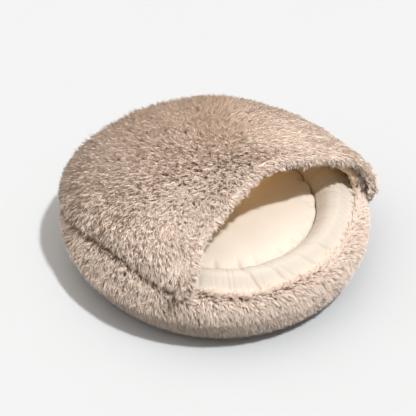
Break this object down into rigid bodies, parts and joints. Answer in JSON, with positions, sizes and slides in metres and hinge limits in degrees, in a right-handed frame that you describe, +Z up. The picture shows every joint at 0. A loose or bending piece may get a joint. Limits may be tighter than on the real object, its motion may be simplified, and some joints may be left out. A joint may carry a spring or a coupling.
{
  "type": "donut pet bed",
  "caption": "Round stuffed ring bed for a small pet, with a long-pile outside, a gathered cream bolster, a filled cushion and a long-pile hood that is open at the front.",
  "frame": {"origin": "on the floor, on the underside of the base panel, below the middle of the ring", "axes": "+Z up, the mouth of the hood towards -Y, +X to the right of someone who looks into the mouth"},
  "size_m": [0.5115, 0.5115, 0.2172],
  "materials": {
    "long_pile": "long soft pile, brown at the roots and pale at the tips",
    "cream_cloth": "short-napped cream cloth, matt",
    "base_cloth": "plain matt cloth"
  },
  "bodies": {
    "root": {"base_panel": "base_cloth", "bolster": "cream_cloth", "cushion": "cream_cloth", "wall_panel": "long_pile", "hood_panel": "long_pile", "hood_lining": "cream_cloth", "hood_locks": "long_pile", "wall_locks": "long_pile"}
  },
  "joints": []
}
